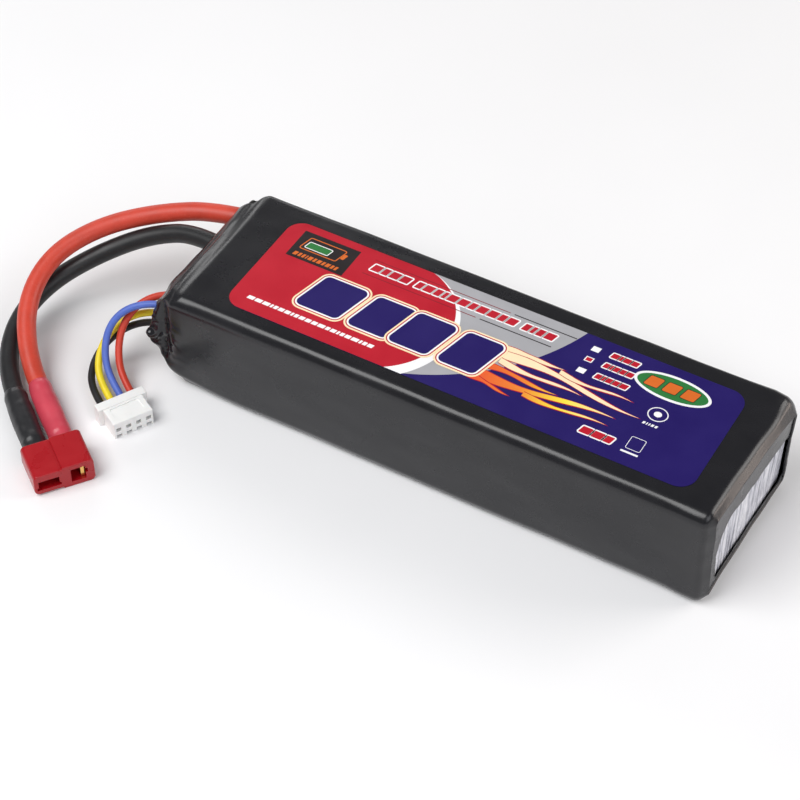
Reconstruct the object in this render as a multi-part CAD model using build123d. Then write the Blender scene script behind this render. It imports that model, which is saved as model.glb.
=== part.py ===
"""Three-cell lithium polymer battery pack for radio control models.

Millimetres. +X runs along the pack to its closed-tape end, +Z is up, and the origin is the
centre of the underside, on the surface that the pack lies on. The leads leave at the -X end.
"""
from build123d import *
import math
import os

os.makedirs("parts", exist_ok=True)

# ---- driving dimensions -------------------------------------------------------------------
PACK_LENGTH = 138.0
PACK_WIDTH = 43.0
PACK_HEIGHT = 28.0
SLEEVE_WALL = 0.25
LONG_EDGE_RADIUS = 3.0
FAR_EDGE_RADIUS = 2.0
BULGE_LENGTH = 6.0
# what the film leaves open at each end, as middle y, middle z, width, height
FAR_OPENING = (1.5, 10.7, 35.4, 15.8)
WIRE_OPENING = (0.6, 16.6, 36.5, 17.4)
OPENING_RADIUS = 4.0
LABEL_LENGTH, LABEL_WIDTH, LABEL_THICK = 114.0, 31.2, 0.1
LABEL_CENTRE_X, LABEL_CENTRE_Y = 3.75, -0.6

TAPE_WIDTH, TAPE_THICK, TAPE_START_X = 37.6, 0.15, -44.0
TAPE_BEND_RADIUS = 2.3
TAPE_RECESS = 1.0                 # from the sleeve's far face to the taped end of the stack
PLATE_WIDTH, PLATE_THICK, PLATE_START_X, PLATE_END_X = 38.5, 0.8, -62.5, 65.5
CELL_COUNT = 3
CELL_LENGTH, CELL_WIDTH, CELL_EDGE_RADIUS = 118.0, 41.0, 1.5
CELL_GAP = 0.3
PACKING_GAP = 0.05
FLANGE_LENGTH, FLANGE_WIDTH, FLANGE_THICK = 5.0, 39.0, 0.4
FOLD_THICK, FOLD_HEIGHT = 0.3, 4.6

BOARD_X, BOARD_THICK, BOARD_WIDTH, BOARD_HEIGHT = -58.5, 1.0, 38.0, 24.6
PAD_THICK = 0.1
TAB_WIDTH, TAB_THICK, TAB_Y, TAB_LEG = 7.0, 0.2, 9.4, 2.2
COVER_X, COVER_THICK, COVER_WIDTH, COVER_HEIGHT = -66.3, 0.5, 38.0, 24.4

LEAD_DIA, LEAD_CORE_DIA = 4.5, 3.0
SENSE_DIA, SENSE_CORE_DIA = 1.7, 0.8
CORE_GAP = 0.05
SHRINK_DIA, SHRINK_LENGTH = 5.4, 19.0

PLUG_LENGTH, PLUG_WIDTH, PLUG_HEIGHT = 10.2, 14.0, 6.6
PLUG_STEP = 0.45
PLUG_TURN = -37.0
PLUG_BACK = (-76.2, -53.8)
PLUG_WIRE_Y, PLUG_WIRE_Z = 3.1, 3.0
PLUG_TAB_LENGTH = 3.6
PLUG_WALL = 2.4
PLUG_CORNER_RADIUS, PLUG_EDGE_RADIUS = 1.2, 0.3
# each slot of the plug's face as y0, y1, z0, z1: the flat blade's two steps, then the upright one's
PLUG_SLOTS = [(-6.0, -1.2, 2.1, 4.3), (-6.4, -0.8, 1.7, 2.5), (1.5, 4.9, 1.4, 5.2), (4.0, 5.4, 3.2, 4.4)]

SOCKET_LENGTH, SOCKET_WIDTH, SOCKET_HEIGHT = 7.7, 9.9, 4.6
SOCKET_EAR_SPAN, SOCKET_EAR_LENGTH, SOCKET_EAR_RISE = 12.2, 2.4, 0.3
SOCKET_EDGE_RADIUS, SOCKET_PANEL_DEPTH = 0.25, 0.25
SOCKET_TOOTH_GAP, SOCKET_TOOTH_HEIGHT = 1.3, 1.0
SOCKET_PITCH = 2.5
SOCKET_TURN = -29.5
SOCKET_FRONT = (-64.6, -38.05)
SOCKET_WIRE_Z = 2.4

# ---- routes of the leads, from the tab board to their connectors --------------------------
LEAD_ROUTES = {
    "positive": [(-60.2, 16.0, 22.4), (-74.0, 14.2, 22.2), (-87.0, 8.0, 20.6), (-98.2, -1.0, 18.2),
                 (-104.6, -12.2, 14.8), (-103.4, -24.2, 10.6), (-96.2, -34.6, 6.4),
                 (-85.9, -42.6, 3.0), (-74.3, -51.3, 3.0)],
    "negative": [(-60.2, 3.0, 21.8), (-74.0, 6.5, 21.2), (-86.5, 4.0, 17.2), (-97.2, -3.5, 12.0),
                 (-104.4, -14.0, 8.0), (-105.5, -25.9, 5.4), (-100.4, -37.4, 3.8),
                 (-89.7, -47.6, 3.0), (-78.1, -56.3, 3.0)],
}
SENSE_ROUTES = {
    "red": [(-59.9, -16.4, 21.8), (-67.2, -12.4, 20.0), (-73.2, -13.4, 18.2), (-77.2, -16.2, 15.5),
            (-79.0, -20.0, 11.8), (-78.1, -24.0, 7.4), (-74.9, -27.9, 3.6), (-69.45, -31.0, 2.4)],
    "blue": [(-59.9, -16.4, 18.8), (-67.4, -14.8, 18.2), (-73.8, -16.4, 17.8), (-78.7, -19.2, 15.8),
             (-81.0, -22.7, 12.2), (-80.1, -26.6, 7.8), (-76.5, -30.1, 3.8), (-70.7, -33.17, 2.4)],
    "yellow": [(-59.9, -16.4, 15.8), (-67.3, -14.6, 14.8), (-74.0, -14.6, 13.6), (-79.2, -17.0, 11.6),
               (-82.0, -21.6, 9.0), (-81.7, -27.1, 6.0), (-78.0, -32.0, 3.4), (-71.9, -35.35, 2.4)],
    "black": [(-59.9, -16.4, 12.8), (-67.0, -15.4, 12.2), (-73.8, -15.0, 10.9), (-79.4, -17.2, 8.7),
              (-82.6, -22.0, 6.2), (-82.8, -27.8, 4.1), (-79.4, -33.9, 2.7), (-73.15, -37.5, 2.4)],
}
SENSE_ORDER = ["black", "yellow", "blue", "red"]
SENSE_PAD_Z = {name: SENSE_ROUTES[name][0][2] for name in SENSE_ORDER}
SENSE_PAD_Y = -16.4

# ---- places worked out from the dimensions ------------------------------------------------
FAR_X = PACK_LENGTH / 2
WIRE_X = -PACK_LENGTH / 2
TAPE_X1 = FAR_X - TAPE_RECESS
TAPE_Z0 = SLEEVE_WALL + PACKING_GAP
TAPE_Z1 = PACK_HEIGHT - TAPE_Z0
STACK_Z0 = TAPE_Z0 + TAPE_THICK + PLATE_THICK
STACK_Z1 = PACK_HEIGHT - STACK_Z0
CELL_HEIGHT = (STACK_Z1 - STACK_Z0 - (CELL_COUNT - 1) * CELL_GAP) / CELL_COUNT
CELL_X1 = TAPE_X1 - TAPE_THICK - PACKING_GAP
CELL_X0 = CELL_X1 - CELL_LENGTH
CELL_MID_Z = [STACK_Z0 + CELL_HEIGHT / 2 + i * (CELL_HEIGHT + CELL_GAP) for i in range(CELL_COUNT)]
BOARD_FRONT_X = BOARD_X - BOARD_THICK
PAD_FACE_X = BOARD_FRONT_X - PAD_THICK
PLUG_FRAME = Plane((*PLUG_BACK, 0), z_dir=(0, 0, 1)).rotated((0, 0, PLUG_TURN))
SOCKET_FRAME = Plane((*SOCKET_FRONT, 0), z_dir=(0, 0, 1)).rotated((0, 0, SOCKET_TURN))
CELL_NAMES = ["bottom", "middle", "top"]


# ---- helpers ------------------------------------------------------------------------------
def block(x0, x1, y0, y1, z0, z1):
    """An upright box between two corners."""
    size = Box(x1 - x0, y1 - y0, z1 - z0)
    return Pos((x0 + x1) / 2, (y0 + y1) / 2, (z0 + z1) / 2) * size


def save(name, *shapes):
    """Write one node; several shapes become separate solids of that node."""
    solids = [solid for shape in shapes for solid in shape.solids()]
    whole = solids[0] if len(solids) == 1 else Compound(children=solids)
    export_step(whole, f"parts/{name}.step")


def end_face(x, width, height, radius, middle_z=PACK_HEIGHT / 2):
    """A rounded rectangle across the pack at station x."""
    plane = Plane((x, 0, middle_z), x_dir=(0, 1, 0), z_dir=(1, 0, 0))
    return plane * RectangleRounded(width, height, radius)


def corner_radii(points):
    """One arc for each inner point of a route, as large as its two runs allow."""
    radii = []
    for before, here, after in zip(points, points[1:], points[2:]):
        run_in, run_out = Vector(*here) - Vector(*before), Vector(*after) - Vector(*here)
        turn = math.radians(run_in.get_angle(run_out))
        radii.append(0.45 * min(run_in.length, run_out.length) / math.tan(turn / 2))
    return radii


def moved_end(end, inner, distance):
    """A route's end point, moved along its run towards the inner point (or away, if negative)."""
    end, inner = Vector(*end), Vector(*inner)
    place = end + (inner - end).normalized() * distance
    return (place.X, place.Y, place.Z)


def tube(points, outer, inner=0.0, trim_start=0.0, trim_end=0.0):
    """A round tube or rod along a route of straight runs joined by tangent arcs."""
    radii = corner_radii(points)
    route = list(points)
    route[0] = moved_end(points[0], points[1], trim_start)
    route[-1] = moved_end(points[-1], points[-2], trim_end)
    path = FilletPolyline(*route, radius=radii)
    start = Plane(origin=path @ 0, z_dir=path % 0)
    section = Circle(outer / 2)
    if inner:
        section -= Circle(inner / 2)
    return sweep(start * section, path=path), path


# ---- outer skin and label -----------------------------------------------------------------
def sleeve_body(inset):
    """The sleeve's filled outline, drawn in by the inset."""
    width, height = PACK_WIDTH - 2 * inset, PACK_HEIGHT - 2 * inset
    radius = LONG_EDGE_RADIUS - inset
    shoulder_x = WIRE_X + BULGE_LENGTH
    barrel = extrude(end_face(shoulder_x, width, height, radius), FAR_X - inset - shoulder_x)
    far_loop = barrel.faces().sort_by(Axis.X)[-1].edges()
    barrel = fillet(far_loop, FAR_EDGE_RADIUS - inset)
    bulge_steps = [(0.0, 0.0), (2.6, 1.0), (4.6, 3.0), (BULGE_LENGTH - inset, 6.0)]
    for (dx0, draw0), (dx1, draw1) in zip(bulge_steps, bulge_steps[1:]):
        wide = end_face(shoulder_x - dx0, width - draw0, height - draw0, radius)
        narrow = end_face(shoulder_x - dx1, width - draw1, height - draw1, radius)
        barrel += loft([wide, narrow], ruled=True)
    return barrel


def shrink_sleeve():
    """Shrunk film around the pack, turned in over both ends."""
    film = sleeve_body(0) - sleeve_body(SLEEVE_WALL)
    for start_x, (middle_y, middle_z, width, height) in ((FAR_X - 3, FAR_OPENING), (WIRE_X - 1, WIRE_OPENING)):
        mouth = Pos(0, middle_y, 0) * end_face(start_x, width, height, OPENING_RADIUS, middle_z)
        film -= extrude(mouth, BULGE_LENGTH)
    return film


def label():
    """Printed label on the sleeve's top."""
    outline = RectangleRounded(LABEL_LENGTH, LABEL_WIDTH, 4.0)
    return Pos(LABEL_CENTRE_X, LABEL_CENTRE_Y, PACK_HEIGHT) * extrude(outline, LABEL_THICK)


# ---- inside the sleeve --------------------------------------------------------------------
def tape_outline(inset):
    """Side view of the strap's closed outline, drawn in by the inset."""
    length = TAPE_X1 - TAPE_START_X + 10 - 2 * inset
    height = TAPE_Z1 - TAPE_Z0 - 2 * inset
    middle = Plane((TAPE_X1 - inset - length / 2, 0, PACK_HEIGHT / 2), x_dir=(1, 0, 0), z_dir=(0, -1, 0))
    return middle * RectangleRounded(length, height, TAPE_BEND_RADIUS - inset)


def filament_tape():
    """Reinforced tape strapped lengthwise round the far end of the stack."""
    strap = extrude(tape_outline(0) - tape_outline(TAPE_THICK), TAPE_WIDTH / 2, both=True)
    return strap & block(TAPE_START_X, FAR_X, -25, 25, -5, PACK_HEIGHT + 5)


def plate(z0):
    """Stiff protective plate over or under the cells."""
    return block(PLATE_START_X, PLATE_END_X, -PLATE_WIDTH / 2, PLATE_WIDTH / 2, z0, z0 + PLATE_THICK)


def cell(middle_z):
    """A pouch cell: cushion body, sealed terrace and the two side seams folded up."""
    half, width = CELL_HEIGHT / 2, CELL_WIDTH / 2
    pouch = block(CELL_X0, CELL_X1, -width, width, middle_z - half, middle_z + half)
    pouch = fillet(pouch.edges(), CELL_EDGE_RADIUS)
    flange_half = FLANGE_THICK / 2
    pouch += block(CELL_X0 - FLANGE_LENGTH, CELL_X0 + 1, -FLANGE_WIDTH / 2, FLANGE_WIDTH / 2,
                   middle_z - flange_half, middle_z + flange_half)
    for side in (-1, 1):
        low, high = sorted((side * (width - 0.1), side * (width + FOLD_THICK)))
        pouch += block(CELL_X0 + 2, CELL_X1 - 2, low, high, middle_z - 2.2, middle_z - 2.2 + FOLD_HEIGHT)
    return pouch


def cell_pad(lower_cell):
    """Double-sided tape between two cells."""
    z0 = CELL_MID_Z[lower_cell] + CELL_HEIGHT / 2
    return block(CELL_X0 + 2, CELL_X1 - 2, -18, 18, z0, z0 + CELL_GAP)


def cell_tab(side, middle_z, fold):
    """Metal tab through the board, its end folded on the pad; fold is +1 up or -1 down."""
    y0, y1 = side * TAB_Y - TAB_WIDTH / 2, side * TAB_Y + TAB_WIDTH / 2
    leg_face = PAD_FACE_X - TAB_THICK
    strip = block(leg_face, CELL_X0 - FLANGE_LENGTH, y0, y1, middle_z - TAB_THICK / 2, middle_z + TAB_THICK / 2)
    low, high = sorted((middle_z - fold * TAB_THICK / 2, middle_z + fold * TAB_LEG))
    return strip + block(leg_face, PAD_FACE_X, y0, y1, low, high)


def tab_seals(middle_z):
    """Heat-sealed polymer strips that pinch the tabs where they leave the pouch."""
    strips = []
    for side in (-1, 1):
        for face in (-1, 1):
            inner = middle_z + face * FLANGE_THICK / 2
            low, high = sorted((inner, inner + face * 0.1))
            y = side * TAB_Y
            strips.append(block(CELL_X0 - FLANGE_LENGTH, CELL_X0 - 1.4, y - 4.4, y + 4.4, low, high))
    return strips


def tab_board():
    """Circuit board that joins the cell tabs, with a slot for each tab."""
    half_width, half_height = BOARD_WIDTH / 2, BOARD_HEIGHT / 2
    middle = PACK_HEIGHT / 2
    board = block(BOARD_FRONT_X, BOARD_X, -half_width, half_width, middle - half_height, middle + half_height)
    board = fillet(board.edges().filter_by(Axis.X), 1.0)
    for side in (-1, 1):
        for middle_z in CELL_MID_Z:
            y0, y1 = side * TAB_Y - TAB_WIDTH / 2, side * TAB_Y + TAB_WIDTH / 2
            board -= block(BOARD_FRONT_X - 1, BOARD_X + 1, y0 - 0.2, y1 + 0.2, middle_z - 0.3, middle_z + 0.3)
    return board


def bus_pads():
    """Copper pads that put the cells in series: B- B1 B2 B+, each cut away round its slots."""
    low_z, mid_z, top_z = CELL_MID_Z
    x0, x1 = PAD_FACE_X, BOARD_FRONT_X
    pads = {
        "bus_pad_b0": block(x0, x1, -13.6, -4.5, 2.6, low_z + 3.0) + block(x0, x1, -4.6, 5.1, 2.6, 25.4),
        "bus_pad_b1": block(x0, x1, 5.4, 13.6, 2.6, mid_z + 2.8),
        "bus_pad_b2": block(x0, x1, -13.6, -5.3, mid_z - 2.8, 25.4),
        "bus_pad_b3": block(x0, x1, 5.4, 18.8, top_z - 3.2, 25.4),
    }
    for name in pads:
        for side in (-1, 1):
            for middle_z in CELL_MID_Z:
                y = side * TAB_Y
                slot = block(x0 - 1, x1 + 1, y - TAB_WIDTH / 2 - 0.2, y + TAB_WIDTH / 2 + 0.2,
                             middle_z - 0.3, middle_z + 0.3)
                pads[name] -= slot
    return pads


def sense_pads():
    """Four small pads for the balance leads."""
    return [block(PAD_FACE_X, BOARD_FRONT_X, SENSE_PAD_Y - 1.7, SENSE_PAD_Y + 1.7, z - 1.2, z + 1.2)
            for z in SENSE_PAD_Z.values()]


def solder_dome(place, foot_radius, tip_radius, height, core):
    """A cone of solder on a pad, round the end of a conductor."""
    foot = Plane((PAD_FACE_X, place[1], place[2]), z_dir=(-1, 0, 0))
    dome = loft([foot * Circle(foot_radius), foot.offset(height) * Circle(tip_radius)])
    return dome - core


def end_cover(ways):
    """Insulating card over the board, pierced where each lead passes."""
    middle = PACK_HEIGHT / 2
    card = block(COVER_X - COVER_THICK, COVER_X, -COVER_WIDTH / 2, COVER_WIDTH / 2,
                 middle - COVER_HEIGHT / 2, middle + COVER_HEIGHT / 2)
    card = fillet(card.edges().filter_by(Axis.X), 2.5)
    for way in ways:
        card -= way
    return card


# ---- main plug ----------------------------------------------------------------------------
def plug_contact_solids():
    """The two contacts of a T-shaped plug: one blade lies flat, the other stands."""
    inner_x, tab_x, wire_y, wire_z = PLUG_WALL + 0.1, -PLUG_TAB_LENGTH, PLUG_WIRE_Y, PLUG_WIRE_Z
    jog_x = inner_x + 0.7
    flat = block(inner_x, PLUG_LENGTH - 1.3, -5.7, -1.5, 3.3, 4.2)
    flat += block(tab_x, jog_x, -wire_y - 1.8, -wire_y + 1.8, wire_z - 0.5, wire_z + 0.5)
    upright = block(inner_x, PLUG_LENGTH - 0.8, 3.9, 4.7, 1.6, 5.0)
    upright += block(inner_x, jog_x, wire_y - 0.5, 4.7, 1.6, wire_z + 1.4)
    upright += block(tab_x, jog_x, wire_y - 0.5, wire_y + 0.5, wire_z - 1.4, wire_z + 1.4)
    return {"negative": flat, "positive": upright}


def plug_housing_solid(contacts):
    """Moulded body in two halves of different thickness, with a slot for each blade."""
    length, half = PLUG_LENGTH, PLUG_WIDTH / 2
    thick_side = block(0, length, -0.3, half, 0, PLUG_HEIGHT)
    thick_side = fillet(thick_side.edges().filter_by(Axis.X).group_by(Axis.Y)[-1], PLUG_CORNER_RADIUS)
    thin_side = block(0, length, -half, 0, PLUG_STEP, PLUG_HEIGHT - PLUG_STEP)
    thin_side = fillet(thin_side.edges().filter_by(Axis.X).group_by(Axis.Y)[0], PLUG_CORNER_RADIUS)
    body = thick_side + thin_side
    for end in (0, -1):
        body = fillet(body.faces().sort_by(Axis.X)[end].edges(), PLUG_EDGE_RADIUS)
    for y0, y1, z0, z1 in PLUG_SLOTS:
        body -= block(PLUG_WALL, length + 1, y0, y1, z0, z1)
    for contact in contacts.values():
        body -= contact
    return body


def plug_solder(side, contact, core):
    """Solder that joins a conductor to the tab of its contact."""
    axis = Plane((-PLUG_TAB_LENGTH - 1.2, side * PLUG_WIRE_Y, PLUG_WIRE_Z), z_dir=(1, 0, 0))
    bead = extrude(axis * Circle(2.1), PLUG_TAB_LENGTH + 0.6)
    return PLUG_FRAME.location * (bead - contact) - core


# ---- balance connector --------------------------------------------------------------------
def pin_places():
    """Each pin's place across the balance connector."""
    first = -SOCKET_PITCH * (len(SENSE_ORDER) - 1) / 2
    return {name: first + i * SOCKET_PITCH for i, name in enumerate(SENSE_ORDER)}


def socket_housing():
    """Four-way housing with side ears, a sunk top panel and a toothed front edge."""
    length, half, ear_half = SOCKET_LENGTH, SOCKET_WIDTH / 2, SOCKET_EAR_SPAN / 2
    body = block(-length, 0, -half, half, 0, SOCKET_HEIGHT)
    upper_edges = body.edges().filter_by(lambda edge: edge.center().Z > SOCKET_HEIGHT / 4)
    body = fillet(upper_edges, SOCKET_EDGE_RADIUS)
    ears = block(-length, -length + SOCKET_EAR_LENGTH, -ear_half, ear_half, 0, SOCKET_HEIGHT + SOCKET_EAR_RISE)
    upper_edges = ears.edges().filter_by(lambda edge: edge.center().Z > SOCKET_HEIGHT / 4)
    body += fillet(upper_edges, SOCKET_EDGE_RADIUS)
    panel = block(-length + SOCKET_EAR_LENGTH + 0.5, -1.5, -half + 1.3, half - 1.3,
                  SOCKET_HEIGHT - SOCKET_PANEL_DEPTH, SOCKET_HEIGHT + 1)
    body -= fillet(panel.edges().filter_by(Axis.Z), 0.5)
    for y in pin_places().values():
        body -= block(-length - 1, -1.2, y - 0.95, y + 0.95, 1.0, 3.7)
        body -= block(-2, 1, y - 0.6, y + 0.6, 1.9, 3.0)
        body -= block(-1.5, 1, y - SOCKET_TOOTH_GAP / 2, y + SOCKET_TOOTH_GAP / 2, -1, SOCKET_TOOTH_HEIGHT)
    return body


def socket_terminal(y):
    """Stamped receptacle inside the housing: a square tube with its crimp behind it."""
    x0, z = -SOCKET_LENGTH, SOCKET_WIRE_Z
    shell = block(-4.8, -1.3, y - 0.8, y + 0.8, z - 0.8, z + 0.8)
    shell -= block(-4.4, 0, y - 0.5, y + 0.5, z - 0.5, z + 0.5)
    bar = block(x0 + 2.2, -4.7, y - 0.5, y + 0.5, z - 0.8, z - 0.55)
    grip = block(x0 + 1.9, x0 + 2.6, y - 0.75, y + 0.75, z - 0.8, z + 0.75)
    grip -= block(x0 + 1, x0 + 3, y - 0.5, y + 0.5, z - 0.55, z + 1)
    return shell + bar + grip


# ---- assembly -----------------------------------------------------------------------------
def report_cord(name, solid, path, outer, radii):
    """Print the radii of a cord and compare its volume with section times length."""
    expected = math.pi * outer ** 2 / 4 * path.length
    shortest = min(radii)
    print(f"{name}: length {path.length:.1f}, volume ratio {solid.volume / expected:.4f}, "
          f"radii {[round(r, 1) for r in radii]}, least {shortest / outer:.1f} diameters")


def build_leads():
    """Main leads, their conductors, heat-shrink covers and solder; returns their cover ways."""
    contacts = plug_contact_solids()
    ways, domes, beads = [], [], []
    keep = PLUG_FRAME.location * block(-SHRINK_LENGTH - 0.1, -0.1, -20, 20, -5, 20)
    for name, side in (("positive", 1), ("negative", -1)):
        route = LEAD_ROUTES[name]
        jacket, path = tube(route, LEAD_DIA, LEAD_CORE_DIA + 2 * CORE_GAP, 2.0, PLUG_TAB_LENGTH + 1.4)
        core, _ = tube(route, LEAD_CORE_DIA, 0, 0, PLUG_TAB_LENGTH + 0.1)
        rod, _ = tube(route, LEAD_DIA, 0, 2.0, PLUG_TAB_LENGTH + 1.4)
        report_cord("main_lead_" + name, rod, path, LEAD_DIA, corner_radii(route))
        save("main_lead_" + name, jacket)
        save("main_core_" + name, core)
        cover, _ = tube(route[-4:], SHRINK_DIA, LEAD_DIA + 2 * CORE_GAP, 0, 0)
        save("heat_shrink_" + name, cover & keep)
        fat, _ = tube(route[:3], LEAD_DIA + 0.5)
        ways.append(fat)
        domes.append(solder_dome(route[0], 2.0, 1.7, 1.6, core))
        beads.append(plug_solder(side, contacts[name], core))
        save("plug_contact_" + name, PLUG_FRAME.location * contacts[name])
    save("plug_housing", PLUG_FRAME.location * plug_housing_solid(contacts))
    save("plug_solder", *beads)
    return ways, domes


def build_sense_leads():
    """Balance leads, conductors, terminals and housing; returns their cover ways and domes."""
    ways, domes = [], []
    for name, y in pin_places().items():
        route = SENSE_ROUTES[name]
        jacket, path = tube(route, SENSE_DIA, SENSE_CORE_DIA + 2 * CORE_GAP, 1.5, 0.1)
        core, _ = tube(route, SENSE_CORE_DIA, 0, 0, -1.6)
        rod, _ = tube(route, SENSE_DIA, 0, 1.5, 0.1)
        report_cord("balance_lead_" + name, rod, path, SENSE_DIA, corner_radii(route))
        save("balance_lead_" + name, jacket)
        save("balance_core_" + name, core)
        fat, _ = tube(route[:3], SENSE_DIA + 0.5)
        ways.append(fat)
        domes.append(solder_dome(route[0], 1.1, 0.6, 1.2, core))
        save("balance_terminal_" + name, SOCKET_FRAME.location * socket_terminal(y))
    save("balance_housing", SOCKET_FRAME.location * socket_housing())
    return ways, domes


def build_core_stack():
    """Tape, plates, cells, pads, tabs and board."""
    save("filament_tape", filament_tape())
    save("plate_bottom", plate(TAPE_Z0 + TAPE_THICK))
    save("plate_top", plate(STACK_Z1))
    for name, middle_z in zip(CELL_NAMES, CELL_MID_Z):
        save("cell_" + name, cell(middle_z))
        save("tab_seals_" + name, *tab_seals(middle_z))
    save("cell_pad_lower", cell_pad(0))
    save("cell_pad_upper", cell_pad(1))
    tabs = {"bottom_negative": (-1, 0, -1), "bottom_positive": (1, 0, -1), "middle_negative": (1, 1, -1),
            "middle_positive": (-1, 1, 1), "top_negative": (-1, 2, 1), "top_positive": (1, 2, 1)}
    for name, (side, level, fold) in tabs.items():
        save("cell_tab_" + name, cell_tab(side, CELL_MID_Z[level], fold))
    save("tab_board", tab_board())
    for name, pad in bus_pads().items():
        save(name, pad)
    save("balance_pads", *sense_pads())


save("shrink_sleeve", shrink_sleeve())
save("label", label())
build_core_stack()
lead_ways, lead_domes = build_leads()
sense_ways, sense_domes = build_sense_leads()
save("solder_joints", *lead_domes, *sense_domes)
save("end_cover", end_cover(lead_ways + sense_ways))
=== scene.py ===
"""Looks of a three-cell lithium polymer battery pack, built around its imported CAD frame.

Metres, in the frame's axes: +X runs to the taped end, the leads leave at -X, +Z is up.
"""
import math

import bpy
import numpy as np
from mathutils import Matrix, Vector, noise


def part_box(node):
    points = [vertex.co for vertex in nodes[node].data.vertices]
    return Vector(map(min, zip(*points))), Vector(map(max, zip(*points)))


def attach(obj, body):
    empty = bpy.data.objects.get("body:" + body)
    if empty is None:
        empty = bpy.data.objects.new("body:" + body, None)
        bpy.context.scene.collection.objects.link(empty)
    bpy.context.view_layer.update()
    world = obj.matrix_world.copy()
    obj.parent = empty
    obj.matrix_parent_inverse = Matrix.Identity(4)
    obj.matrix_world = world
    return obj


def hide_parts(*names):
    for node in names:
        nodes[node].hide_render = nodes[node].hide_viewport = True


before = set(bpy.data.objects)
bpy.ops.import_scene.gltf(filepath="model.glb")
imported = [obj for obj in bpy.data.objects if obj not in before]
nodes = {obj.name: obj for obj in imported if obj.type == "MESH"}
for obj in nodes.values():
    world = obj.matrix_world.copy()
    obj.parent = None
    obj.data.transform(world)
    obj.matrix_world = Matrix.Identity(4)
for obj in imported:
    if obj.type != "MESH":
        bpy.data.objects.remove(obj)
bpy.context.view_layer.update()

MM = 0.001
BODY = "root"
GATHER_TIP = np.array((-71.6, -20.6, 13.6))    # where the sleeve's mouth is pinched, in millimetres

# ---- camera -------------------------------------------------------------------------------
CAMERA_AZIMUTH, CAMERA_ELEVATION = math.radians(29.76), math.radians(46.29)
CAMERA_DISTANCE, CAMERA_SIDE, CAMERA_RISE = 0.54509, -0.01479, 0.00634
CAMERA_LENS, CAMERA_SENSOR = 108.0, 36.0


def make_camera():
    """A long lens from the right of the near side, well above it."""
    a, e = CAMERA_AZIMUTH, CAMERA_ELEVATION
    back = Vector((math.sin(a) * math.cos(e), -math.cos(a) * math.cos(e), math.sin(e)))
    right = Vector((math.cos(a), math.sin(a), 0))
    up = back.cross(right)
    data = bpy.data.cameras.new("camera")
    data.lens, data.sensor_width, data.clip_start = CAMERA_LENS, CAMERA_SENSOR, 0.01
    camera = bpy.data.objects.new("camera", data)
    turn = Matrix((right, up, back)).transposed().to_4x4()
    place = back * CAMERA_DISTANCE + right * CAMERA_SIDE + up * CAMERA_RISE
    camera.matrix_world = Matrix.Translation(place) @ turn
    bpy.context.scene.collection.objects.link(camera)
    bpy.context.scene.camera = camera


# ---- materials ----------------------------------------------------------------------------
def linear(red, green, blue):
    """A colour given as 0 to 255 screen values, as the shader's linear one."""
    def channel(value):
        value /= 255
        return value / 12.92 if value <= 0.04045 else ((value + 0.055) / 1.055) ** 2.4
    return (channel(red), channel(green), channel(blue), 1.0)


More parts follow.
